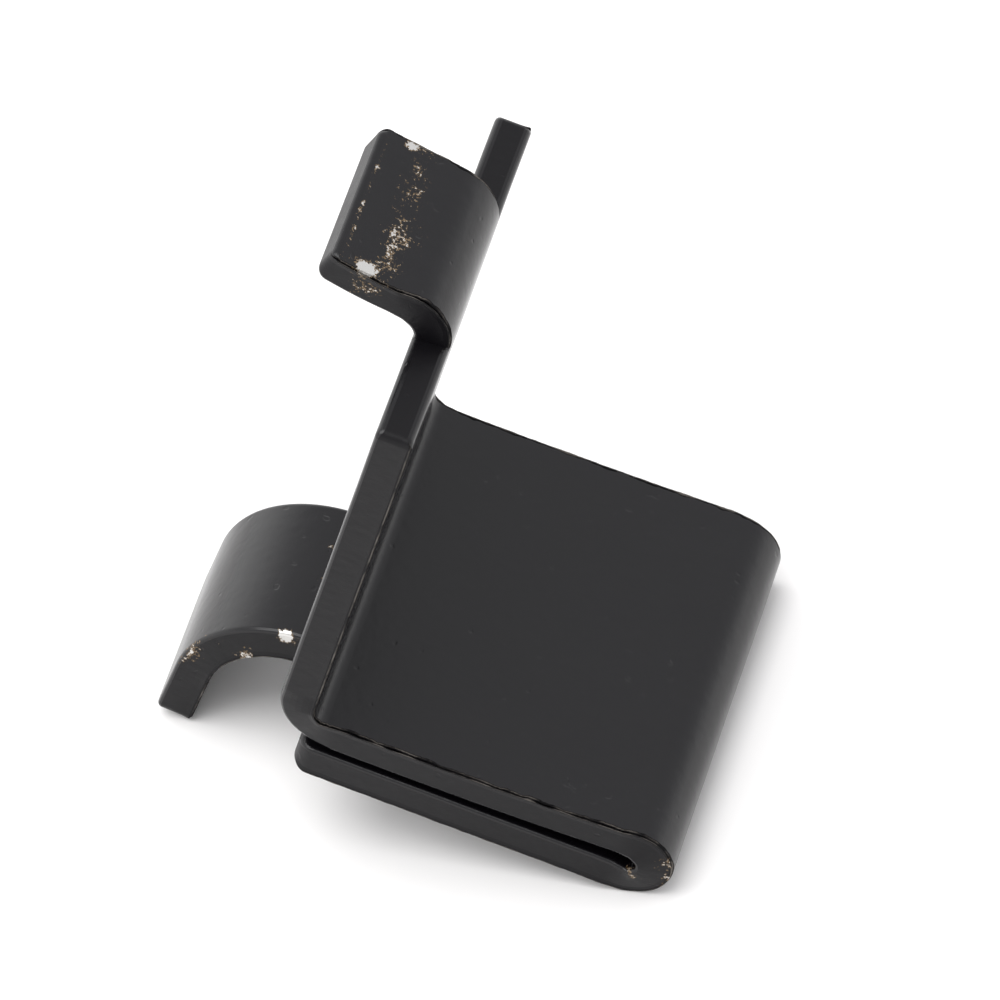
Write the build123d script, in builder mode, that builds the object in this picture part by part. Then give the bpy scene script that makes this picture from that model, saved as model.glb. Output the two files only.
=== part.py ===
"""Shelf support clip for a slotted upright, stamped and folded from one strip of sheet steel.

The strip runs, end to end: latch tongue, latch bend, back plate, corner bend, tab, hem, hem ease,
return leg, hook root, hook arc and hook tip.  Each of those regions is one solid.  Neighbours meet
face to face at the bend lines, so that together they are the whole folded strip and nothing
overlaps.

Frame, in millimetres: the origin is the centre of the back plate's flat bearing face, +X points
out along the tab, +Y across the strip and +Z up the back plate, away from the hook.
"""

import os
from math import cos, radians, sin

from build123d import *

# Driving dimensions, millimetres and degrees.
SHEET = 1.7  # finished thickness: 1.6 mm sheet with its paint
STRIP_WIDTH = 19.4  # plate, tab, hem and return leg
TONGUE_WIDTH = 7.95  # latch tongue and hook
PLATE_HEIGHT = 19.6  # flat of the back plate, from the corner bend to the shoulders
REACH = 19.05  # bearing face to the outside of the hem
CORNER_RADIUS = 0.7  # inside radius between plate and tab
TAB_SPRING = 3.0  # rise of the tab past square where it meets the hem
TAB_BOW = 4.0  # the tab bows up by this much over its length
HEM_RADIUS = 0.4  # inside radius of the hem
HEM_OVERTURN = 5.0  # turn past parallel that closes the hem like a teardrop
EASE_RADIUS = 18.0  # centre-line radius of the gentle curve that undoes that turn
LEG_SHOULDER = 1.45  # bearing face to the shoulders at the end of the return leg
HOOK_START = 0.6  # bearing face to where the hook begins to curve
HOOK_RADIUS = 3.88  # inside radius of the hook
HOOK_TURN = 86.5
HOOK_TIP = 3.4  # straight end of the hook
LATCH_RADIUS = 0.82  # inside radius at the root of the latch tongue
LATCH_TURN = 86.0
LATCH_LENGTH = 4.05  # latch tongue past its bend, along the centre line
LATCH_CURL = 12.0  # the tongue curls up by this much over its length
ROLLED_EDGE = 0.22  # rounding that shearing leaves along one side of the strip
SHOULDER_ROUND = 0.4  # corners of the plate's shoulders, seen square to the sheet
LEG_ROUND = 0.8  # corners of the return leg's shoulders
TIP_ROUND = 0.5  # corners of both tongue ends, seen square to the sheet

os.makedirs("parts", exist_ok=True)


# Stations.  A station is a plane across the strip: its origin is on the centre line, its z axis
# points along the strip, its x axis across it and its y axis towards the burred side.


def station(x, z, direction, across):
    """The plane across the strip at x, z in the middle of its width."""
    return Plane(origin=(x, 0, z), x_dir=across, z_dir=direction)


def after_run(start, length):
    """The station a straight length further along."""
    return start.offset(length)


def after_bend(start, inside_radius, turn):
    """The station past a bend, which turns to the burred side if turn is positive."""
    side = 1 if turn > 0 else -1
    radius = inside_radius + SHEET / 2
    angle = radians(abs(turn))
    inward = start.y_dir * side
    origin = start.origin + start.z_dir * radius * sin(angle) + inward * radius * (1 - cos(angle))
    direction = start.z_dir * cos(angle) + inward * sin(angle)
    return Plane(origin=origin, x_dir=start.x_dir, z_dir=direction)


def strip_section(width):
    """Sheared strip seen end on: square on the burred side, rounded on the other."""
    Rectangle(width, SHEET)
    fillet(vertices().group_by(Axis.Y)[0], ROLLED_EDGE)


def bend_axis(start, inside_radius, turn):
    """The line that a bend turns about."""
    side = 1 if turn > 0 else -1
    radius = inside_radius + SHEET / 2
    centre = start.origin + start.y_dir * side * radius
    return Axis(centre, start.x_dir * -side)


def blank_outline(start, width, length, corner_radius):
    """Outline of a free end, in the plane of the sheet, with its two far corners rounded."""
    sheet_plane = Plane(origin=start.origin, x_dir=start.x_dir, z_dir=start.y_dir)
    with BuildSketch(sheet_plane) as outline:
        Rectangle(width, length, align=(Align.CENTER, Align.MAX))
        fillet(vertices().group_by(Axis.Y)[0], corner_radius)
    return outline.sketch


def straight_run(name, start, width, length, end_round=0.0):
    """A flat region of the strip, with its far corners rounded if it is a free end."""
    with BuildPart() as run:
        with BuildSketch(start):
            strip_section(width)
        extrude(amount=length)
        if end_round:
            outline = blank_outline(start, width, length, end_round)
            extrude(outline, amount=SHEET, both=True, mode=Mode.INTERSECT)
    run.part.label = name
    return run.part


def bent_run(name, start, width, inside_radius, turn, end_round=0.0):
    """A bent region of the strip, with its far corners rounded if it is a free end."""
    with BuildPart() as run:
        with BuildSketch(start):
            strip_section(width)
        revolve(axis=bend_axis(start, inside_radius, turn), revolution_arc=abs(turn))
        if end_round:
            length = (inside_radius + SHEET) * sin(radians(abs(turn)))
            outline = blank_outline(start, width, length, end_round)
            extrude(outline, amount=2 * SHEET, both=True, mode=Mode.INTERSECT)
    run.part.label = name
    return run.part


def save(part):
    """One STEP file for each region, under the region's own name."""
    export_step(part, f"parts/{part.label}.step")


# The back plate and the latch tongue above it.

plate_middle = SHEET / 2
plate_top = PLATE_HEIGHT / 2
shoulders_down = station(plate_middle, plate_top, (0, 0, -1), across=(0, 1, 0))
shoulders_up = station(plate_middle, plate_top, (0, 0, 1), across=(0, -1, 0))
plate_foot = after_run(shoulders_down, PLATE_HEIGHT)
foot_up = station(plate_middle, -plate_top, (0, 0, 1), across=(0, -1, 0))
save(straight_run("back_plate", foot_up, STRIP_WIDTH, PLATE_HEIGHT, SHOULDER_ROUND))

latch_root = after_bend(shoulders_up, LATCH_RADIUS, -LATCH_TURN)
curl_inside_radius = LATCH_LENGTH / radians(LATCH_CURL) - SHEET / 2
save(bent_run("latch_bend", shoulders_up, TONGUE_WIDTH, LATCH_RADIUS, -LATCH_TURN))
save(
    bent_run("latch_tongue", latch_root, TONGUE_WIDTH, curl_inside_radius, LATCH_CURL, TIP_ROUND)
)

# The corner bend and the tab.  The tab runs until the hem just reaches REACH.

corner_turn = 90 + TAB_SPRING - TAB_BOW
tab_start = after_bend(plate_foot, CORNER_RADIUS, corner_turn)
save(bent_run("corner_bend", plate_foot, STRIP_WIDTH, CORNER_RADIUS, corner_turn))

hem_lean = (HEM_RADIUS + SHEET / 2) * sin(radians(TAB_SPRING))
hem_centre_x = REACH - HEM_RADIUS - SHEET
tab_rise = sin(radians(TAB_SPRING)) - sin(radians(TAB_SPRING - TAB_BOW))
bow_inside_radius = (hem_centre_x - hem_lean - tab_start.origin.X) / tab_rise - SHEET / 2
tab_end = after_bend(tab_start, bow_inside_radius, TAB_BOW)
save(bent_run("shelf_tab", tab_start, STRIP_WIDTH, bow_inside_radius, TAB_BOW))

# The hem turns past parallel, and a gentle curve brings the return leg back square to the plate.

hem_turn = 180 + TAB_SPRING + HEM_OVERTURN
hem_end = after_bend(tab_end, HEM_RADIUS, -hem_turn)
save(bent_run("hem_fold", tab_end, STRIP_WIDTH, HEM_RADIUS, -hem_turn))

ease_inside_radius = EASE_RADIUS - SHEET / 2
leg_start = after_bend(hem_end, ease_inside_radius, HEM_OVERTURN)
leg_length = leg_start.origin.X - LEG_SHOULDER
leg_end = after_run(leg_start, leg_length)
save(bent_run("hem_ease", hem_end, STRIP_WIDTH, ease_inside_radius, HEM_OVERTURN))
save(straight_run("return_leg", leg_start, STRIP_WIDTH, leg_length, LEG_ROUND))

# The hook carries on from the return leg.

root_length = LEG_SHOULDER - HOOK_START
hook_start = after_run(leg_end, root_length)
hook_end = after_bend(hook_start, HOOK_RADIUS, HOOK_TURN)
save(straight_run("hook_root", leg_end, TONGUE_WIDTH, root_length))
save(bent_run("hook_arc", hook_start, TONGUE_WIDTH, HOOK_RADIUS, HOOK_TURN))
save(straight_run("hook_tip", hook_end, TONGUE_WIDTH, HOOK_TIP, TIP_ROUND))
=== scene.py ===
"""Shelf support clip: one strip of black painted sheet steel, sheared, folded and hemmed.

The strip is laid out flat as a grid, given its sheared edges, and folded along its centre line.
Each region of the fold is a piece of its own, and neighbours share their shading at the bend lines.
"""

from functools import lru_cache
from math import atan2, cos, pi, radians, sin

import bpy
import numpy as np
from bpy.props import FloatProperty, FloatVectorProperty, PointerProperty
from mathutils import Matrix, Vector, noise


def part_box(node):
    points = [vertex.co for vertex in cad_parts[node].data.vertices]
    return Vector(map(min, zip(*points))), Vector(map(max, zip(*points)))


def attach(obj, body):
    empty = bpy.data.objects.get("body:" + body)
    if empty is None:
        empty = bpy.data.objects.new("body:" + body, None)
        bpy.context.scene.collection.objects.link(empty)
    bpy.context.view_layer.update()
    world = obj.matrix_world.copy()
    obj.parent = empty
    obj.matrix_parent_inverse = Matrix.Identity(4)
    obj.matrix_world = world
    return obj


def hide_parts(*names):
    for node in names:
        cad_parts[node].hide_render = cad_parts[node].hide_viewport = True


bl_info = {
    "name": "Folded Shelf Clip",
    "version": (1, 0, 0),
    "blender": (4, 5, 0),
    "location": "View3D > Sidebar > Shelf Clip",
    "description": "Builds a folded sheet-steel shelf clip with sheared edges and worn black paint",
    "category": "Add Mesh",
}

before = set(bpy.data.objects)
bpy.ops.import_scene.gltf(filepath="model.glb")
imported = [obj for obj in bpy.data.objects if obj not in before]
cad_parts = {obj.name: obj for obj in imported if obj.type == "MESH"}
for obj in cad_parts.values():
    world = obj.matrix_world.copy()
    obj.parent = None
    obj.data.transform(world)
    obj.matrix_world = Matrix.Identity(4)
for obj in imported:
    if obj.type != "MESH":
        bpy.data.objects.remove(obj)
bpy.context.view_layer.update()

MM = 0.001


def node_size(node):
    """Size of a CAD node's box along X, Y and Z."""
    low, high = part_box(node)
    return high - low


# ---------------------------------------------------------------------------------------------
# Sizes and colours
# ---------------------------------------------------------------------------------------------


def length(name, description, default):
    """A size in metres."""
    return FloatProperty(
        name=name, description=description, default=default, precision=6,
        subtype="DISTANCE", unit="LENGTH",
    )


def angle(name, description, degrees):
    """An angle, given in degrees and kept in radians."""
    return FloatProperty(
        name=name, description=description, default=radians(degrees),
        subtype="ANGLE", unit="ROTATION",
    )


def factor(name, description, default):
    """A plain number."""
    return FloatProperty(name=name, description=description, default=default)


def colour(name, description, default):
    """A colour."""
    return FloatVectorProperty(
        name=name, description=description, default=(*default, 1.0), size=4, min=0.0, max=1.0,
        subtype="COLOR",
    )


class StripSizes(bpy.types.PropertyGroup):
    """Sizes of the folded strip."""

    sheet: length("Sheet", "Finished thickness", node_size("back_plate").x)
    strip_width: length("Strip Width", "Width of the strip", node_size("back_plate").y)
    tongue_width: length("Tongue Width", "Width of both tongues", node_size("hook_arc").y)
    plate_height: length("Plate Height", "Flat of the back plate", node_size("back_plate").z)
    reach: length("Reach", "Bearing face to the outside of the hem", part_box("hem_fold")[1].x)
    corner_radius: length("Corner Radius", "Inside radius at the corner", 0.7 * MM)
    tab_spring: angle("Tab Spring", "Rise of the tab past square at the hem", 3.0)
    tab_bow: angle("Tab Bow", "How far the tab bows up over its length", 4.0)
    hem_radius: length("Hem Radius", "Inside radius of the hem", 0.4 * MM)
    hem_overturn: angle("Hem Overturn", "Turn past parallel that closes the hem", 5.0)
    ease_radius: length("Ease Radius", "Centre-line radius of the curve after the hem", 18 * MM)
    leg_shoulder: length("Leg Shoulder", "Bearing face to the leg's shoulders", 1.45 * MM)
    hook_start: length("Hook Start", "Bearing face to the start of the hook", 0.6 * MM)
    hook_radius: length("Hook Radius", "Inside radius of the hook", 3.88 * MM)
    hook_turn: angle("Hook Turn", "How far the hook turns", 86.5)
    hook_tip: length("Hook Tip", "Straight end of the hook", 3.4 * MM)
    latch_radius: length("Latch Radius", "Inside radius under the latch tongue", 0.82 * MM)
    latch_turn: angle("Latch Turn", "How far the latch tongue is folded back", 86.0)
    latch_length: length("Latch Length", "Latch tongue past its bend", 4.05 * MM)
    latch_curl: angle("Latch Curl", "How far the latch tongue curls up", 12.0)
    shoulder_round: length("Shoulder Round", "Corners of the plate's shoulders", 0.4 * MM)
    leg_round: length("Leg Round", "Corners of the return leg's shoulders", 0.8 * MM)
    tip_round: length("Tip Round", "Corners of the tongue ends", 0.5 * MM)


class EdgeSizes(bpy.types.PropertyGroup):
    """Sizes of the sheared edge and of the unevenness that bending leaves."""

    roll_width: length("Roll Width", "How far the rolled edge reaches in", 0.24 * MM)
    roll_depth: length("Roll Depth", "How deep the rolled edge is", 0.17 * MM)
    end_round: length("End Round", "Rounding of the free ends, on both faces", 0.34 * MM)
    groove_width: length("Groove Width", "Torn groove between face and burr", 0.13 * MM)
    groove_depth: length("Groove Depth", "How deep the torn groove is", 0.18 * MM)
    burr: length("Burr", "How far the burr stands out of the cut face", 0.04 * MM)
    bulge: factor("Bulge", "Share of the bending strain that shows at the edges", 0.16)
    waviness: length("Waviness", "Unevenness of the flats", 0.02 * MM)


class PaintColours(bpy.types.PropertyGroup):
    """Colours of the paint, of what shows where it is worn, and of the painted highlight along the
    burr.
    """

    paint: colour("Paint", "Satin black paint", (0.0028, 0.0024, 0.0034))
    # The next colour is a painted highlight along the burr's crest. It stands in for light caught
    # by the burr's edge.
    burr_highlight: colour("Painted Highlight", "Paint rubbed thin along the burr", (0.15, 0.135, 0.12))
    steel: colour("Steel", "Bare steel in the chips", (0.62, 0.61, 0.59))
    stain: colour("Stain", "Brown stain in the chips", (0.26, 0.17, 0.08))


class StageSettings(bpy.types.PropertyGroup):
    """The camera, the floor and the light."""

    aim: FloatVectorProperty(
        name="Aim", description="Point in the middle of the picture", subtype="XYZ",
        unit="LENGTH", size=3, default=(6.080 * MM, 0.504 * MM, -4.106 * MM),
    )
    azimuth: angle("Azimuth", "Camera angle round the clip", -0.553)
    elevation: angle("Elevation", "Camera angle above the plane square to the plate", 50.968)
    roll: angle("Roll", "How far the camera is turned about its own axis", 20.935)
    distance: length("Distance", "Camera to aim point", 498.2 * MM)
    lens: factor("Lens", "Focal length in millimetres on a 36 mm sensor", 404.9)
    sky: colour("Sky", "Light from overhead", (0.88, 0.88, 0.90))
    horizon: colour("Horizon", "Light from low down, as a share of full", (1.0, 1.0, 1.0))
    horizon_strength: factor("Horizon Strength", "Brightness of the light from low down", 1.75)
    floor: colour("Floor", "Matt white table", (0.91, 0.90, 0.89))


# ---------------------------------------------------------------------------------------------
# The fold: where each point of the flat blank ends up
# ---------------------------------------------------------------------------------------------


class Fold:
    """The strip's centre line in the XZ plane, from the latch tongue's tip to the hook's.

    A positive turn is towards the burred side, which is on the left of the way along the strip.
    """

    def __init__(self, sizes):
        half = sizes.sheet / 2
        tab_fall = sizes.tab_spring - sizes.tab_bow
        corner_turn = pi / 2 + tab_fall
        hem_turn = pi + sizes.tab_spring + sizes.hem_overturn
        corner_centre = sizes.corner_radius + half
        hem_centre = sizes.hem_radius + half
        corner_end = half + corner_centre * (1 - cos(corner_turn))
        hem_x = sizes.reach - sizes.hem_radius - sizes.sheet
        tab_end = hem_x - hem_centre * sin(sizes.tab_spring)
        tab_radius = (tab_end - corner_end) / (sin(sizes.tab_spring) - sin(tab_fall))
        leg_start = hem_x - (hem_centre + sizes.ease_radius) * sin(sizes.hem_overturn)
        runs = (
            ("latch_tongue", sizes.latch_length, sizes.latch_curl),
            ("latch_bend", (sizes.latch_radius + half) * sizes.latch_turn, -sizes.latch_turn),
            ("back_plate", sizes.plate_height, 0.0),
            ("corner_bend", corner_centre * corner_turn, corner_turn),
            ("shelf_tab", tab_radius * sizes.tab_bow, sizes.tab_bow),
            ("hem_fold", hem_centre * hem_turn, -hem_turn),
            ("hem_ease", sizes.ease_radius * sizes.hem_overturn, sizes.hem_overturn),
            ("return_leg", leg_start - sizes.leg_shoulder, 0.0),
            ("hook_root", sizes.leg_shoulder - sizes.hook_start, 0.0),
            ("hook_arc", (sizes.hook_radius + half) * sizes.hook_turn, sizes.hook_turn),
            ("hook_tip", sizes.hook_tip, 0.0),
        )
        self.names = [name for name, _, _ in runs]
        run_lengths = np.array([run for _, run, _ in runs])
        self.bend = np.array([turn / run for _, run, turn in runs])
        self.starts = np.concatenate([[0.0], np.cumsum(run_lengths)])
        self.end = self.starts[-1]
        self.shoulder_in = self.starts[self.names.index("back_plate")]
        self.shoulder_out = self.starts[self.names.index("hook_root")]
        self.place_runs(run_lengths, np.array([half, sizes.plate_height / 2]))

    def place_runs(self, run_lengths, plate_top):
        """Works out where each run starts, with the back plate heading straight down."""
        heading = [0.0]
        place = [np.zeros(2)]
        for run, bend in zip(run_lengths, self.bend):
            x, z, turned = arc_point(run, bend, heading[-1])
            place.append(place[-1] + (x, z))
            heading.append(turned)
        plate = self.names.index("back_plate")
        spin = -pi / 2 - heading[plate]
        turn = np.array([[cos(spin), -sin(spin)], [sin(spin), cos(spin)]])
        self.heading = np.array(heading) + spin
        self.place = np.array([plate_top + turn @ (p - place[plate]) for p in place])

    def run_at(self, s):
        """Index of the run that each distance s along the strip is in."""
        found = np.searchsorted(self.starts, s, side="right") - 1
        return np.clip(found, 0, len(self.names) - 1)

    def bend_at(self, s, spread):
        """Curvature at s, smoothed over a length of spread to each side."""
        return (self.heading_at(s + spread) - self.heading_at(s - spread)) / (2 * spread)

    def heading_at(self, s):
        """Which way the strip heads at s."""
        run = self.run_at(s)
        return self.heading[run] + (s - self.starts[run]) * self.bend[run]

    def points(self, s, y, n):
        """Where points of the blank go: s along it, y across it, n towards the burred side."""
        run = self.run_at(s)
        x, z, heading = arc_point(s - self.starts[run], self.bend[run], self.heading[run])
        x = x + self.place[run, 0] - n * np.sin(heading)
        z = z + self.place[run, 1] + n * np.cos(heading)
        return np.stack([x, y, z], axis=-1)


def arc_point(run, bend, heading):
    """Step and new heading after a run of constant curvature, straight ones included."""
    straight = np.abs(bend) < 1e-3
    safe = np.where(straight, 1.0, bend)
    turned = heading + run * np.where(straight, 0.0, bend)
    x = np.where(straight, run * np.cos(heading), (np.sin(turned) - np.sin(heading)) / safe)
    z = np.where(straight, run * np.sin(heading), (np.cos(heading) - np.cos(turned)) / safe)
    return x, z, turned


# ---------------------------------------------------------------------------------------------
# The blank: a grid over the flat outline
# ---------------------------------------------------------------------------------------------

EDGE_STEPS = np.array([0.0, 0.03, 0.07, 0.12, 0.18, 0.25, 0.34, 0.46, 0.62]) * MM
STEP_ALONG = 0.14 * MM
STEP_IN_BEND = 0.07 * MM
TIGHT_BEND = 2.0 * MM  # bends with a smaller centre-line radius than this get the finer step
STEP_ACROSS = 0.25 * MM
LIP = 0.5 * MM  # how far in from the edge the torn groove pushes the face's points
PROBE = 0.01 * MM  # how far to either side the outline's direction is felt for
CLOSE = 1e-4 * MM  # points nearer than this to a grid line are on it


def filled(stops, step):
    """Sorted grid lines through all the stops, with the wide gaps filled evenly."""
    stops = np.unique(np.round(stops, 8))
    lines = [stops[:1]]
    for low, high in zip(stops[:-1], stops[1:]):
        count = max(1, int(np.ceil((high - low) / step - 1e-6)))
        lines.append(np.linspace(low, high, count + 1)[1:])
    return np.concatenate(lines)


class Outline:
    """The blank's outline: a wide strip with a narrower tongue at each end."""

    def __init__(self, sizes, fold):
        self.wide = sizes.strip_width / 2
        self.tongue = sizes.tongue_width / 2
        self.shoulder_in = fold.shoulder_in
        self.shoulder_out = fold.shoulder_out
        self.end = fold.end
        self.corners = (
            (0.0, 1, self.tongue, sizes.tip_round),
            (fold.shoulder_in, 1, self.wide, sizes.shoulder_round),
            (fold.shoulder_out, -1, self.wide, sizes.leg_round),
            (fold.end, -1, self.tongue, sizes.tip_round),
        )

    def rounded(self, s, y):
        """Grid points moved so that the free corners are round, seen square to the sheet."""
        s = s.copy()
        size = np.abs(y)
        for corner, inward, half_width, radius in self.corners:
            a = (radius - (s - corner) * inward) / radius
            b = (size - (half_width - radius)) / radius
            reach = 1 + CLOSE / radius
            inside = (a > 0) & (a <= reach) & (b > 0) & (b <= reach)
            turned_a = a * np.sqrt(np.clip(1 - b * b / 2, 0, 1))
            turned_b = b * np.sqrt(np.clip(1 - a * a / 2, 0, 1))
            s = np.where(inside, corner + inward * radius * (1 - turned_a), s)
            size = np.where(inside, half_width - radius + turned_b * radius, size)
        return s, np.sign(y) * size

    def inset(self, s, y):
        """How far a point of the blank is from the outline."""
        size = np.abs(y)
        past_in = s - self.shoulder_in
        past_out = self.shoulder_out - s
        on_tongue = (past_in < -CLOSE) | (past_out < -CLOSE)
        past = np.minimum(past_in, past_out)
        beside = on_tongue & (size > self.tongue + CLOSE) & (past > -2 * PROBE)
        to_side = np.where(on_tongue & ~beside, self.tongue, self.wide) - size
        neck = np.maximum(self.tongue - size, 0)
        to_end = np.where(on_tongue, np.minimum(s, self.end - s), np.hypot(past, neck))
        to_end = np.where(beside, past, to_end)
        found = np.minimum(to_side, to_end)
        for corner, inward, half_width, radius in self.corners:
            a = radius - (s - corner) * inward
            b = size - (half_width - radius)
            reach = radius + 2 * PROBE
            inside = (a > 0) & (b > 0) & (a < reach) & (b < reach)
            found = np.where(inside, radius - np.hypot(a, b), found)
        return found

    def outward(self, s, y):
        """Unit direction from a point of the blank to the nearest part of the outline."""
        along = self.inset(s - PROBE, y) - self.inset(s + PROBE, y)
        across = self.inset(s, y - PROBE) - self.inset(s, y + PROBE)
        size = np.maximum(np.hypot(along, across), 1e-12)
        return along / size, across / size


# ---------------------------------------------------------------------------------------------
# The sheet: the blank given its thickness and sheared edges, then folded
# ---------------------------------------------------------------------------------------------

CUT_ROWS = 9  # rows of points down the cut face, between the rolled side and the burred side
BURNISHED_ROWS = (0.06, 0.2, 0.4, 0.6, 0.8)  # rows below the burr, as shares of the way to it
BURR_DROP = 0.35  # the burr's crest below the face, as a share of the groove's depth
BEND_SPREAD = 0.6 * MM  # how far to each side of a bend its bulge fades out


def smooth_noise(points, scale, seed):
    """Smooth noise from -1 to 1 at points given in metres, with features of the given size."""
    shift = Vector((seed * 17.3, seed * 5.1, seed * 9.7))
    return np.array([noise.noise(Vector(p) / scale + shift) for p in points])


class Sheet:
    """The whole folded strip as one closed surface, ready to be parted into its regions.

    Its points come in three lots: the burred face's grid, the rolled face's grid, and the cut
    face's rows, which join the two grids all round the outline.
    """

    def __init__(self, sizes, edge):
        self.sizes = sizes
        self.edge = edge
        self.fold = Fold(sizes)
        self.outline = Outline(sizes, self.fold)
        self.lay_out_grid()
        self.find_cells()
        self.shape_faces()
        self.shape_cut_face()
        self.join_up()

    def lay_out_grid(self):
        """Grid lines along and across the blank, closer together beside its edges."""
        fold, outline = self.fold, self.outline
        along = [fold.starts, EDGE_STEPS, fold.end - EDGE_STEPS]
        along += [fold.shoulder_in + EDGE_STEPS, fold.shoulder_out - EDGE_STEPS]
        for run in np.nonzero(np.abs(fold.bend) > 1 / TIGHT_BEND)[0]:
            along.append(filled(fold.starts[run:run + 2], STEP_IN_BEND))
        half = [[0.0], outline.wide - EDGE_STEPS, outline.tongue - EDGE_STEPS]
        half = filled(np.concatenate(half), STEP_ACROSS)
        self.s_lines = filled(np.concatenate(along), STEP_ALONG)
        self.y_lines = np.concatenate([-half[:0:-1], half])

    def find_cells(self):
        """Grid cells that lie on the blank, and the directed edges that only one cell has."""
        s_mid = (self.s_lines[:-1] + self.s_lines[1:]) / 2
        y_mid = np.abs(self.y_lines[:-1] + self.y_lines[1:]) / 2
        wide = (s_mid > self.fold.shoulder_in) & (s_mid < self.fold.shoulder_out)
        on_blank = wide[:, None] | (y_mid < self.outline.tongue)[None, :]
        i, j = np.nonzero(on_blank)
        across = len(self.y_lines)
        corner = i * across + j
        self.cells = np.stack([corner, corner + across, corner + across + 1, corner + 1], axis=1)
        self.cell_run = self.fold.run_at(s_mid[i])
        ends = np.stack([self.cells, np.roll(self.cells, -1, axis=1)], axis=2).reshape(-1, 2)
        points = len(self.s_lines) * across
        forward = ends[:, 0] * points + ends[:, 1]
        backward = ends[:, 1] * points + ends[:, 0]
        free = ~np.isin(forward, backward)
        self.rim = ends[free]
        self.rim_run = np.repeat(self.cell_run, 4)[free]

    def shape_faces(self):
        """Places of the two faces' grid points on the blank: along, across and through it."""
        s, y = np.meshgrid(self.s_lines, self.y_lines, indexing="ij")
        s, y = self.outline.rounded(s.ravel(), y.ravel())
        inset = self.outline.inset(s, y)
        flat = np.stack([s, y, np.zeros_like(s)], axis=1)
        self.wave = self.edge.waviness * smooth_noise(flat, 5 * MM, 1)
        self.torn = self.tear(flat, inset < LIP)
        self.out_s, self.out_y = self.outline.outward(s, y)
        self.s, self.y, self.inset = s, y, inset

        half = self.sizes.sheet / 2
        self.side, end = self.out_y ** 2, self.out_s ** 2
        self.torn *= self.side
        push = self.torn * np.clip(1 - inset / LIP, 0, 1)
        end_drop = end * self.rounding(self.edge.end_round, self.edge.end_round)
        roll = self.side * self.rounding(self.edge.roll_width, self.edge.roll_depth) + end_drop
        self.burred_height = half - end_drop
        self.rolled_height = roll - half
        self.burred = (s - self.out_s * push, y - self.out_y * push, self.burred_height + self.wave)
        self.rolled = (s, y, self.rolled_height + self.wave)

    def rounding(self, width, depth):
        """How far a rounded edge of this width and depth takes the face down at each point."""
        share = np.clip(1 - self.inset / width, 0, 1)
        return depth * (1 - np.sqrt(1 - share ** 2))

    def tear(self, flat, near):
        """How wide the torn groove is beside each point that is near the outline."""
        ragged = np.zeros(len(flat))
        for scale, share in ((1.3 * MM, 0.35), (0.45 * MM, 0.35), (0.2 * MM, 0.25)):
            ragged[near] += share * smooth_noise(flat[near], scale, share * 10 + scale / MM)
        return self.edge.groove_width * np.clip(1 + 1.6 * ragged, 0.3, 2.2)

    def shape_cut_face(self):
        """The rows down the cut face: a burnished band, the burr and the torn groove."""
        rim = np.unique(self.rim)
        s, y, wave = self.s[rim], self.y[rim], self.wave[rim]
        low, high = self.rolled_height[rim], self.burred_height[rim]
        flat = np.stack([s, y, np.zeros_like(s)], axis=1)
        side, lean = self.side[rim], self.torn[rim]
        depth = side * self.edge.groove_depth * (1 + 0.5 * smooth_noise(flat, 0.8 * MM, 3))
        rough = 0.02 * MM * side * smooth_noise(flat, 0.16 * MM, 5)
        crest = high - BURR_DROP * depth + rough
        rows = []
        for share in BURNISHED_ROWS:
            worn = 0.006 * MM * smooth_noise(flat + (0, 0, share * MM), 0.3 * MM, 7)
            rows.append((worn, low + (crest - low) * share))
        rows.append((-self.edge.burr * side, crest))
        rows.append((0.25 * lean + rough, high - 0.65 * depth))
        rows.append((0.60 * lean - rough, high - depth))
        rows.append((0.92 * lean + rough, high - 0.4 * depth))
        assert len(rows) == CUT_ROWS
        self.rim_points = rim
        self.cut = [
            (s - self.out_s[rim] * lean_in, y - self.out_y[rim] * lean_in, n + wave)
            for lean_in, n in rows
        ]
        self.cut_profile = [(n - low + 0 * s) for _, n in rows]

    def join_up(self):
        """All the points folded to their places, and all the faces with their runs."""
        lots = [self.burred, self.rolled, *self.cut]
        s, y, n = (np.concatenate([lot[axis] for lot in lots]) for axis in range(3))
        grid = len(self.s)
        rim = self.rim_points
        inset = np.concatenate([self.inset, self.inset, np.tile(0 * rim, CUT_ROWS)])
        own = np.clip(s, self.fold.shoulder_in + BEND_SPREAD, self.fold.shoulder_out - BEND_SPREAD)
        own = np.where(np.abs(y) > self.outline.tongue + LIP, own, s)
        strain = self.edge.bulge * self.fold.bend_at(own, BEND_SPREAD) * n
        y = y + np.sign(y) * strain * np.exp(-inset / self.sizes.sheet) * self.sizes.sheet
        self.points = self.fold.points(s, y, n)
        self.blank_points = np.stack([s, y, n], axis=1)

        cut_height = self.sizes.sheet - self.edge.roll_depth
        self.profile = np.concatenate([cut_height + self.inset, -self.inset, *self.cut_profile])
        place = np.zeros(grid, int)
        place[rim] = np.arange(len(rim))
        a, b = place[self.rim[:, 0]], place[self.rim[:, 1]]
        rows = [self.rim + grid]
        rows += [np.stack([a, b], axis=1) + 2 * grid + row * len(rim) for row in range(CUT_ROWS)]
        rows += [self.rim]
        cut = [
            np.stack([high[:, 1], high[:, 0], low[:, 0], low[:, 1]], axis=1)
            for low, high in zip(rows[:-1], rows[1:])
        ]
        self.faces = np.concatenate([self.cells, self.cells[:, ::-1] + grid, *cut])
        cut_runs = [self.rim_run] * (CUT_ROWS + 1)
        self.face_run = np.concatenate([self.cell_run, self.cell_run, *cut_runs])
        self.face_is_cut = np.arange(len(self.faces)) >= 2 * len(self.cells)
        self.torn_edges = np.sort(self.rim, axis=1)
        self.ladder = [place + 2 * grid + row * len(rim) for row in range(CUT_ROWS)]

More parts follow.
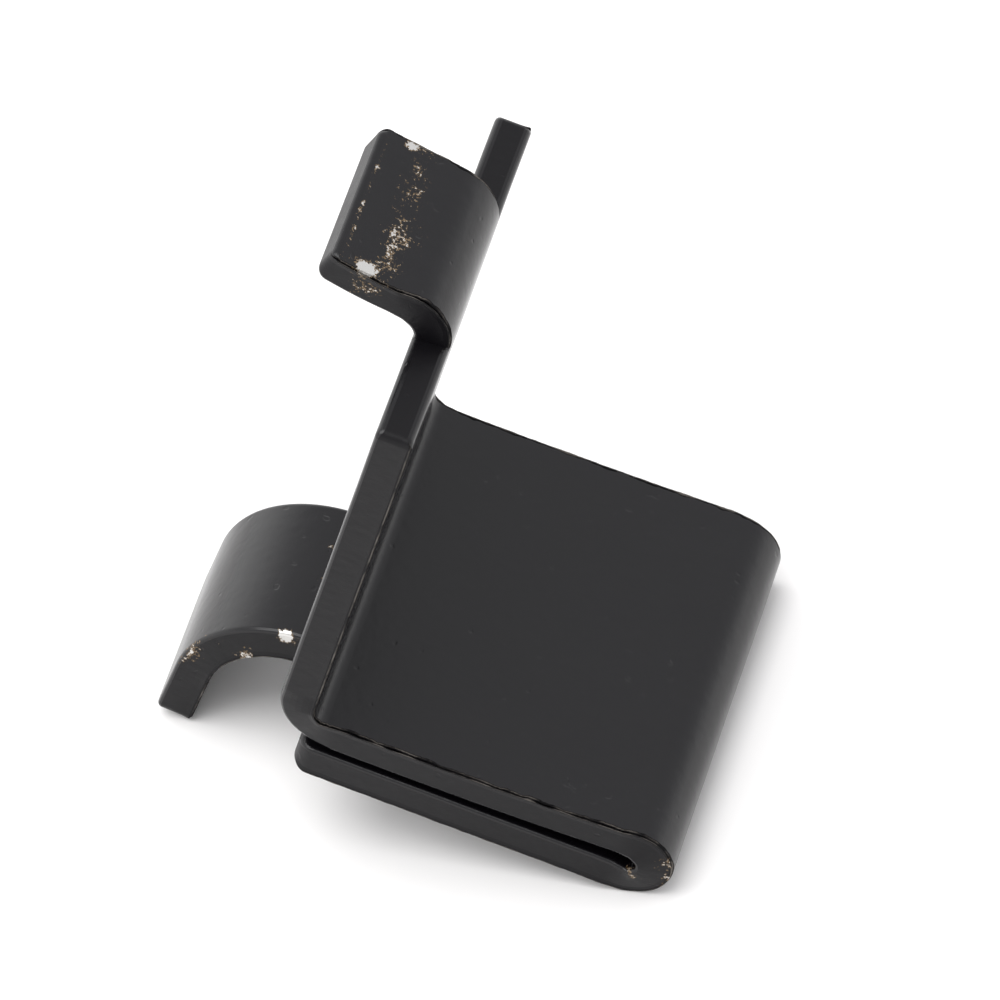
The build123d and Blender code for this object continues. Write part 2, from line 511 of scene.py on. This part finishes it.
    def section(self, line):
        """The closed ring of points where the sheet is cut across at one of its grid lines."""
        across = len(self.y_lines)
        grid = len(self.s)
        on_line = np.arange(line * across, (line + 1) * across)
        s = self.s_lines[line]
        if s <= self.fold.shoulder_in + CLOSE or s >= self.fold.shoulder_out - CLOSE:
            on_line = on_line[np.abs(self.y_lines) <= self.outline.tongue + CLOSE]
        first, last = on_line[0], on_line[-1]
        up_first = [step[first] for step in self.ladder]
        down_last = [step[last] for step in reversed(self.ladder)]
        return [*on_line, *down_last, *(on_line[::-1] + grid), *up_first]

    def corner_normals(self):
        """Smooth normals at every face's corners, with a crisp line along the torn edge."""
        whole = bpy.data.meshes.new("whole_strip")
        whole.from_pydata(self.points.tolist(), [], self.faces.tolist())
        ends = np.zeros(len(whole.edges) * 2, int)
        whole.edges.foreach_get("vertices", ends)
        ends = np.sort(ends.reshape(-1, 2), axis=1)
        key = len(self.points)
        crisp = np.isin(ends[:, 0] * key + ends[:, 1], self.torn_edges @ np.array([key, 1]))
        whole.attributes.new("sharp_edge", "BOOLEAN", "EDGE").data.foreach_set("value", crisp)
        normals = np.zeros(len(whole.loops) * 3)
        whole.corner_normals.foreach_get("vector", normals)
        bpy.data.meshes.remove(whole)
        return normals.reshape(-1, 4, 3)


# Worn places: region, then in millimetres the distance along it from its start, the distance
# across, the height above the middle of the sheet, the reach along and the reach across, and
# last the strength.  The burred face is at a height of half the thickness.
WORN_PLACES = (
    ("latch_tongue", 2.3, 1.8, 0.85, 0.6, 2.6, 0.42),
    ("latch_tongue", 2.6, -1.8, 0.85, 0.8, 2.4, 0.56),
    ("latch_tongue", 0.5, 0.0, 0.85, 0.12, 4.5, 0.55),
    ("latch_tongue", 1.65, -3.6, 0.85, 0.55, 0.4, 1.3),
    ("latch_tongue", 1.6, 3.75, 0.85, 0.4, 0.3, 1.2),
    ("latch_tongue", 2.0, -3.95, 0.1, 0.9, 0.5, 0.45),
    ("hook_arc", 1.2, -3.95, -0.85, 0.35, 0.25, 1.2),
    ("hook_arc", 3.4, -3.95, 0.85, 0.6, 0.3, 0.6),
    ("hook_arc", 5.8, -3.95, -0.85, 1.2, 0.25, 0.5),
    ("hook_arc", 0.2, 0.0, -0.85, 0.5, 3.0, 0.42),
    ("hem_fold", 1.8, -9.7, 0.85, 0.8, 0.25, 0.5),
    ("hem_fold", 3.2, -9.7, -0.7, 0.6, 0.3, 0.5),
)
WORN_DEPTH = 0.6 * MM  # how far through the sheet each worn place reaches


def worn(sheet):
    """How worn each point of the sheet is, from 0 up."""
    found = np.zeros(len(sheet.points))
    for region, along, across, height, reach_along, reach_across, strength in WORN_PLACES:
        start = sheet.fold.starts[sheet.fold.names.index(region)]
        centre = np.array([start + along * MM, across * MM, height * MM])
        reach = np.array([reach_along * MM, reach_across * MM, WORN_DEPTH])
        away = np.linalg.norm((sheet.blank_points - centre) / reach, axis=1)
        found = np.maximum(found, strength * np.exp(-away ** 2))
    return found


@lru_cache(maxsize=1)
def folded_sheet(*sizes_key):
    """The folded sheet for the scene's present sizes, made once for all the regions."""
    scene = bpy.context.scene
    sheet = Sheet(scene.clip_strip, scene.clip_edge)
    sheet.normals = sheet.corner_normals()
    sheet.wear = worn(sheet)
    return sheet


def present_sheet(scene):
    """The folded sheet, made again only after a size has changed."""
    groups = (scene.clip_strip, scene.clip_edge)
    return folded_sheet(*(getattr(g, name) for g in groups for name in g.__annotations__))


def keep_points(mesh, name, values):
    """Keeps one number for each point of a mesh, for its materials to read."""
    mesh.attributes.new(name, "FLOAT", "POINT").data.foreach_set("value", values)


def make_region(scene, region):
    """One region of the folded sheet as a closed piece, capped at its bend lines."""
    sheet = present_sheet(scene)
    run = sheet.fold.names.index(region)
    chosen = np.nonzero(sheet.face_run == run)[0]
    faces = sheet.faces[chosen].tolist()
    normals = list(sheet.normals[chosen].reshape(-1, 3))
    cut = list(sheet.face_is_cut[chosen])
    for stop, onward in ((run, False), (run + 1, True)):
        s = sheet.fold.starts[stop]
        if 0 < s < sheet.fold.end:
            ring = sheet.section(int(np.abs(sheet.s_lines - s).argmin()))
            heading = sheet.fold.heading[stop] + (0 if onward else pi)
            faces.append(ring[::-1] if onward else ring)
            normals += [(cos(heading), 0.0, sin(heading))] * len(ring)
            cut.append(False)
    used = np.unique(np.concatenate(faces))
    place = dict(zip(used.tolist(), range(len(used))))
    faces = [[place[int(corner)] for corner in face] for face in faces]

    mesh = bpy.data.meshes.new("painted_" + region)
    mesh.from_pydata(sheet.points[used].tolist(), [], faces)
    mesh.polygons.foreach_set("material_index", np.array(cut, dtype=np.int32))
    keep_points(mesh, "edge_profile", sheet.profile[used])
    keep_points(mesh, "wear", sheet.wear[used])
    mesh.normals_split_custom_set(np.array(normals).tolist())
    mesh.materials.append(face_paint(scene.clip_colours))
    mesh.materials.append(cut_paint(scene.clip_colours, scene.clip_strip, scene.clip_edge))
    piece = bpy.data.objects.new("painted_" + region, mesh)
    scene.collection.objects.link(piece)
    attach(piece, "root")
    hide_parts(region)
    return piece


# ---------------------------------------------------------------------------------------------
# Materials
# ---------------------------------------------------------------------------------------------


def put(tree, kind, sockets=None, **settings):
    """Adds a node, with its settings, and fills its inputs with values or links."""
    node = tree.nodes.new(kind)
    for name, value in settings.items():
        setattr(node, name, value)
    for name, value in (sockets or {}).items():
        if isinstance(value, bpy.types.NodeSocket):
            tree.links.new(value, node.inputs[name])
        else:
            node.inputs[name].default_value = value
    return node


def maths(tree, operation, *values, clamp=False):
    """A Math node's result."""
    node = put(tree, "ShaderNodeMath", dict(enumerate(values)), operation=operation)
    node.use_clamp = clamp
    return node.outputs["Value"]


def eased(tree, value, low, high, out_low=0.0, out_high=1.0):
    """A value eased from one range into another."""
    sockets = {"Value": value, "From Min": low, "From Max": high}
    sockets |= {"To Min": out_low, "To Max": out_high}
    return put(tree, "ShaderNodeMapRange", sockets, interpolation_type="SMOOTHSTEP").outputs[0]


def speckle(tree, size, detail=2.0, roughness=0.5, stretch=None, shift=0.0):
    """Noise from about 0 to 1, fixed to the metal, with features of a given size in metres."""
    place = put(tree, "ShaderNodeTexCoord").outputs["Object"]
    if stretch or shift:
        sockets = {"Vector": place, "Scale": stretch or (1, 1, 1), "Location": (shift,) * 3}
        place = put(tree, "ShaderNodeMapping", sockets).outputs[0]
    scale = size if isinstance(size, bpy.types.NodeSocket) else 1 / size
    sockets = {"Vector": place, "Scale": scale, "Detail": detail, "Roughness": roughness}
    return put(tree, "ShaderNodeTexNoise", sockets).outputs["Fac"]


def blended(tree, share, first, second):
    """Two colours mixed."""
    node = put(tree, "ShaderNodeMix", data_type="RGBA")
    filled_in = ((node.inputs[0], share), (node.inputs[6], first), (node.inputs[7], second))
    for socket, value in filled_in:
        if isinstance(value, bpy.types.NodeSocket):
            tree.links.new(value, socket)
        else:
            socket.default_value = value
    return node.outputs[2]


def kept(tree, name):
    """A number kept at the mesh's points."""
    return put(tree, "ShaderNodeAttribute", attribute_name=name).outputs["Fac"]


def effect(name, inputs, outputs, fill):
    """A shader node group with named inputs and outputs, built once."""
    group = bpy.data.node_groups.get(name)
    if group:
        return group
    group = bpy.data.node_groups.new(name, "ShaderNodeTree")
    for socket, default in inputs.items():
        made = group.interface.new_socket(socket, in_out="INPUT", socket_type="NodeSocketFloat")
        made.default_value = default
    for socket in outputs:
        group.interface.new_socket(socket, in_out="OUTPUT", socket_type="NodeSocketFloat")
    entry = group.nodes.new("NodeGroupInput")
    leave = group.nodes.new("NodeGroupOutput")
    for socket, value in fill(group, entry.outputs).items():
        group.links.new(value, leave.inputs[socket])
    return group


def placed(tree, group, values):
    """An effect placed in a material with its own values."""
    node = tree.nodes.new("ShaderNodeGroup")
    node.node_tree = group
    for name, value in values.items():
        node.inputs[name].default_value = value
    return node.outputs


def fill_paint_grain(tree, given):
    """Orange peel, a finer grain, and shallow pits where the paint has shrunk."""
    peel = speckle(tree, 0.55 * MM, 1.0)
    grain = speckle(tree, 0.07 * MM, 2.0, 0.6)
    pits = eased(tree, speckle(tree, 0.42 * MM, 0.0, shift=0.31), 0.225, 0.15)
    height = maths(tree, "MULTIPLY", peel, given["Peel"])
    height = maths(tree, "MULTIPLY_ADD", grain, given["Grain"], height)
    height = maths(tree, "MULTIPLY_ADD", pits, -1.0e-5, height)
    cloud = speckle(tree, 2.5 * MM, 3.0, 0.6)
    rough = maths(tree, "MULTIPLY_ADD", cloud, given["Roughness Spread"], given["Roughness"])
    rough = maths(tree, "MULTIPLY_ADD", grain, 0.10, rough, clamp=True)
    return {"Height": height, "Roughness": rough}


def paint_grain():
    """The texture of sprayed and baked paint."""
    inputs = {"Peel": 5e-6, "Grain": 2e-6, "Roughness": 0.3, "Roughness Spread": 0.08}
    return effect("Paint Grain", inputs, ("Height", "Roughness"), fill_paint_grain)


def fill_paint_wear(tree, given):
    """Flecks of bare steel where the sheet is worn, and brown stain in and beside them."""
    wear = maths(tree, "MULTIPLY", kept(tree, "wear"), given["Amount"])
    flecks = speckle(tree, 0.16 * MM, 3.0, 0.7)
    patches = speckle(tree, 0.7 * MM, 2.0, 0.6, shift=0.7)
    field = maths(tree, "MULTIPLY_ADD", patches, 0.6, flecks)
    field = maths(tree, "ADD", field, maths(tree, "MULTIPLY", wear, 0.55))
    bare = eased(tree, field, 1.14, 1.19)
    bare = maths(tree, "MULTIPLY", bare, eased(tree, wear, 0.02, 0.12))
    stain = eased(tree, field, 1.05, 1.17)
    stain = maths(tree, "MULTIPLY", stain, eased(tree, wear, 0.02, 0.12))
    return {"Bare": bare, "Stain": stain}


def paint_wear():
    """Chipped and scuffed paint."""
    return effect("Paint Wear", {"Amount": 1.0}, ("Bare", "Stain"), fill_paint_wear)


def new_material(name):
    """An empty node material and its output node."""
    material = bpy.data.materials.new(name)
    material.use_nodes = True
    material.node_tree.nodes.clear()
    return material, material.node_tree, material.node_tree.nodes.new("ShaderNodeOutputMaterial")


def finish_steel(tree, output, colours, paint, wear, height, roughness, specular):
    """The shader that both finishes end in: paint over steel, with the worn places bared."""
    bare, stain = wear["Bare"], wear["Stain"]
    colour_out = blended(tree, stain, paint, tuple(colours.stain))
    colour_out = blended(tree, bare, colour_out, tuple(colours.steel))
    height = maths(tree, "MULTIPLY_ADD", bare, -25e-6, height)
    bump = put(tree, "ShaderNodeBump", {"Height": height, "Strength": 1.0, "Distance": 1.0})
    shader = put(tree, "ShaderNodeBsdfPrincipled", {
        "Base Color": colour_out,
        "Metallic": maths(tree, "MULTIPLY", bare, 0.75),
        "Roughness": roughness,
        "IOR": 1.45,
        "Specular IOR Level": specular,
        "Normal": bump.outputs[0],
    })
    tree.links.new(shader.outputs[0], output.inputs["Surface"])


def face_paint(colours):
    """Satin black paint on the two faces."""
    if "satin_black_face" in bpy.data.materials:
        return bpy.data.materials["satin_black_face"]
    material, tree, output = new_material("satin_black_face")
    grain = placed(tree, paint_grain(), {"Peel": 1.1e-5, "Grain": 3e-6, "Roughness": 0.15})
    wear = placed(tree, paint_wear(), {"Amount": 1.0})
    finish_steel(
        tree, output, colours, tuple(colours.paint), wear, grain["Height"], grain["Roughness"],
        specular=0.5,
    )
    return material


def fill_painted_burr_highlight(tree, given):
    """Broken streaks of painted highlight along the crest of the burr."""
    away = maths(tree, "SUBTRACT", kept(tree, "edge_profile"), given["Crest"])
    away = maths(tree, "ABSOLUTE", away)
    near = eased(tree, away, given["Reach"], 0.0)
    broken = eased(tree, speckle(tree, 1.1 * MM, 4.0, 0.6, shift=0.45), 0.36, 0.60)
    return {"Painted Highlight": maths(tree, "MULTIPLY", near, broken)}


def painted_burr_highlight():
    """A painted highlight along the burr's crest."""
    inputs = {"Crest": 1.4 * MM, "Reach": 0.05 * MM}
    return effect("Painted Burr Highlight", inputs, ("Painted Highlight",), fill_painted_burr_highlight)


def cut_paint(colours, strip, edge):
    """The same paint over the sheared edge: streaked below the burr, torn above it, and with a
    painted highlight along the burr's crest.
    """
    if "satin_black_cut" in bpy.data.materials:
        return bpy.data.materials["satin_black_cut"]
    material, tree, output = new_material("satin_black_cut")
    grain = placed(tree, paint_grain(), {"Peel": 8e-6, "Grain": 6e-6, "Roughness": 0.30})
    wear = placed(tree, paint_wear(), {"Amount": 1.2})
    profile = kept(tree, "edge_profile")
    crest = strip.sheet - edge.roll_depth - edge.groove_depth
    torn = eased(tree, profile, crest - 0.02 * MM, crest + 0.06 * MM)
    grit = speckle(tree, 0.12 * MM, 4.0, 0.7, shift=0.13)
    torn_grit = maths(tree, "MULTIPLY", torn, grit)
    height = maths(tree, "MULTIPLY_ADD", torn_grit, 0.12 * MM, grain["Height"])
    roughness = maths(tree, "MULTIPLY_ADD", torn, 0.25, grain["Roughness"], clamp=True)
    burr = strip.sheet - edge.roll_depth - BURR_DROP * edge.groove_depth
    # Painted highlight: a lighter colour is mixed into the paint in broken streaks along the burr's
    # crest. It stands in for light caught there.
    burr_highlight = placed(tree, painted_burr_highlight(), {"Crest": burr, "Reach": 0.05 * MM})["Painted Highlight"]
    paint = blended(tree, burr_highlight, tuple(colours.paint), tuple(colours.burr_highlight))
    finish_steel(tree, output, colours, paint, wear, height, roughness, specular=0.26)
    return material


def table_paint(colour_given):
    """Plain matt white, seen through from below."""
    material, tree, output = new_material("matt_white_table")
    cloud = speckle(tree, 60 * MM, 2.0)
    tone = eased(tree, cloud, 0.3, 0.7, 0.985, 1.0)
    black = (0.0, 0.0, 0.0, 1.0)
    shader = put(tree, "ShaderNodeBsdfPrincipled", {
        "Base Color": blended(tree, tone, black, tuple(colour_given)),
        "Roughness": 0.9,
        "Specular IOR Level": 0.0,
    })
    clear = put(tree, "ShaderNodeBsdfTransparent")
    behind = put(tree, "ShaderNodeNewGeometry").outputs["Backfacing"]
    mixed = put(tree, "ShaderNodeMixShader", {0: behind, 1: shader.outputs[0], 2: clear.outputs[0]})
    tree.links.new(mixed.outputs[0], output.inputs["Surface"])
    return material


# ---------------------------------------------------------------------------------------------
# The stage: floor, light and camera
# ---------------------------------------------------------------------------------------------

FLOOR_REACH = 1.6


def resting_line(points):
    """Where the strip rests when it lies on its hook's tip and its hem: a point and a slope."""
    tip = points[points[:, 2].argmin()]
    beyond = points[points[:, 0] > tip[0] + MM]
    slope = ((beyond[:, 2] - tip[2]) / (beyond[:, 0] - tip[0])).min()
    return Vector((tip[0], 0.0, tip[2])), atan2(slope, 1.0)


def make_floor(scene):
    """A wide table top that touches the clip where it rests."""
    sheet = present_sheet(scene)
    used = np.unique(sheet.faces)
    touch, slope = resting_line(sheet.points[used])
    reach = FLOOR_REACH
    corners = [(-reach, -reach, 0), (reach, -reach, 0), (reach, reach, 0), (-reach, reach, 0)]
    mesh = bpy.data.meshes.new("table_top")
    mesh.from_pydata(corners, [], [(0, 1, 2, 3)])
    mesh.materials.append(table_paint(scene.clip_stage.floor))
    floor = bpy.data.objects.new("table_top", mesh)
    scene.collection.objects.link(floor)
    floor.matrix_world = Matrix.Translation(touch) @ Matrix.Rotation(-slope, 4, "Y")


def make_sky(scene):
    """Even light from all round, brighter low down."""
    stage = scene.clip_stage
    world = bpy.data.worlds.new("studio")
    world.use_nodes = True
    tree = world.node_tree
    height = put(tree, "ShaderNodeSeparateXYZ", {
        "Vector": put(tree, "ShaderNodeTexCoord").outputs["Generated"],
    }).outputs["Z"]
    low = eased(tree, height, 0.65, 0.05)
    strength = eased(tree, height, 0.65, 0.05, 1.0, stage.horizon_strength)
    background = tree.nodes["Background"]
    tree.links.new(blended(tree, low, tuple(stage.sky), tuple(stage.horizon)), background.inputs[0])
    tree.links.new(strength, background.inputs[1])
    scene.world = world


def make_lamp(scene, name, direction, size, power):
    """A square soft box that faces the clip from a given direction."""
    light = bpy.data.lights.new(name, "AREA")
    light.size = size
    light.energy = power
    lamp = bpy.data.objects.new(name, light)
    scene.collection.objects.link(lamp)
    towards = Vector(direction).normalized()
    lamp.location = towards * 0.8
    lamp.rotation_euler = towards.to_track_quat("Z", "Y").to_euler()


def make_camera(scene):
    """The camera, aimed and turned as the stage settings say."""
    stage = scene.clip_stage
    back = Vector((
        sin(stage.azimuth) * cos(stage.elevation),
        -cos(stage.azimuth) * cos(stage.elevation),
        sin(stage.elevation),
    ))
    level = Vector((cos(stage.azimuth), sin(stage.azimuth), 0.0))
    upright = back.cross(level)
    right = level * cos(stage.roll) + upright * sin(stage.roll)
    up = back.cross(right)
    data = bpy.data.cameras.new("camera")
    data.lens = stage.lens
    data.sensor_width = 36.0
    data.clip_start = 0.01
    camera = bpy.data.objects.new("camera", data)
    scene.collection.objects.link(camera)
    turn = Matrix((right, up, back)).transposed().to_4x4()
    camera.matrix_world = Matrix.Translation(Vector(stage.aim) + back * stage.distance) @ turn
    scene.camera = camera


# ---------------------------------------------------------------------------------------------
# Operators and panel
# ---------------------------------------------------------------------------------------------


class SHELFCLIP_OT_latch(bpy.types.Operator):
    """Make the latch tongue and the bend that folds it back"""

    bl_idname = "shelfclip.latch"
    bl_label = "Latch Tongue"

    def execute(self, context):
        for region in ("latch_tongue", "latch_bend"):
            make_region(context.scene, region)
        return {"FINISHED"}


class SHELFCLIP_OT_plate(bpy.types.Operator):
    """Make the back plate"""

    bl_idname = "shelfclip.plate"
    bl_label = "Back Plate"

    def execute(self, context):
        make_region(context.scene, "back_plate")
        return {"FINISHED"}


class SHELFCLIP_OT_tab(bpy.types.Operator):
    """Make the tab and the corner bend that it starts from"""

    bl_idname = "shelfclip.tab"
    bl_label = "Tab"

    def execute(self, context):
        for region in ("corner_bend", "shelf_tab"):
            make_region(context.scene, region)
        return {"FINISHED"}


class SHELFCLIP_OT_hem(bpy.types.Operator):
    """Make the hem and the gentle curve that closes it"""

    bl_idname = "shelfclip.hem"
    bl_label = "Hem"

    def execute(self, context):
        for region in ("hem_fold", "hem_ease"):
            make_region(context.scene, region)
        return {"FINISHED"}


class SHELFCLIP_OT_leg(bpy.types.Operator):
    """Make the return leg that carries the shelf"""

    bl_idname = "shelfclip.leg"
    bl_label = "Return Leg"

    def execute(self, context):
        make_region(context.scene, "return_leg")
        return {"FINISHED"}


class SHELFCLIP_OT_hook(bpy.types.Operator):
    """Make the hook, from its root to its tip"""

    bl_idname = "shelfclip.hook"
    bl_label = "Hook"

    def execute(self, context):
        for region in ("hook_root", "hook_arc", "hook_tip"):
            make_region(context.scene, region)
        return {"FINISHED"}


class SHELFCLIP_OT_stage(bpy.types.Operator):
    """Make the table top, the light and the camera"""

    bl_idname = "shelfclip.stage"
    bl_label = "Stage"

    def execute(self, context):
        scene = context.scene
        make_floor(scene)
        make_sky(scene)
        make_lamp(scene, "key_box", (-0.55, -0.15, 1.0), 0.7, 4.5)
        make_camera(scene)
        scene.view_settings.view_transform = "Standard"
        scene.view_settings.look = "None"
        return {"FINISHED"}


OPERATORS = (
    SHELFCLIP_OT_latch, SHELFCLIP_OT_plate, SHELFCLIP_OT_tab, SHELFCLIP_OT_hem,
    SHELFCLIP_OT_leg, SHELFCLIP_OT_hook, SHELFCLIP_OT_stage,
)


class SHELFCLIP_PT_panel(bpy.types.Panel):
    """The clip's regions and its stage, in the sidebar"""

    bl_idname = "SHELFCLIP_PT_panel"
    bl_label = "Shelf Clip"
    bl_space_type = "VIEW_3D"
    bl_region_type = "UI"
    bl_category = "Shelf Clip"

    def draw(self, context):
        for operator in OPERATORS:
            self.layout.operator(operator.bl_idname)
        for group in ("clip_strip", "clip_edge", "clip_colours", "clip_stage"):
            box = self.layout.box()
            values = getattr(context.scene, group)
            for name in values.__annotations__:
                box.prop(values, name)


GROUPS = {
    "clip_strip": StripSizes,
    "clip_edge": EdgeSizes,
    "clip_colours": PaintColours,
    "clip_stage": StageSettings,
}
CLASSES = (*GROUPS.values(), *OPERATORS, SHELFCLIP_PT_panel)


def register():
    for made in CLASSES:
        bpy.utils.register_class(made)
    for name, group in GROUPS.items():
        setattr(bpy.types.Scene, name, PointerProperty(type=group))


def unregister():
    for name in GROUPS:
        delattr(bpy.types.Scene, name)
    for made in reversed(CLASSES):
        bpy.utils.unregister_class(made)


def main():
    """Builds every region and the stage."""
    register()
    bpy.ops.shelfclip.latch()
    bpy.ops.shelfclip.plate()
    bpy.ops.shelfclip.tab()
    bpy.ops.shelfclip.hem()
    bpy.ops.shelfclip.leg()
    bpy.ops.shelfclip.hook()
    bpy.ops.shelfclip.stage()


if __name__ == "__main__":
    main()
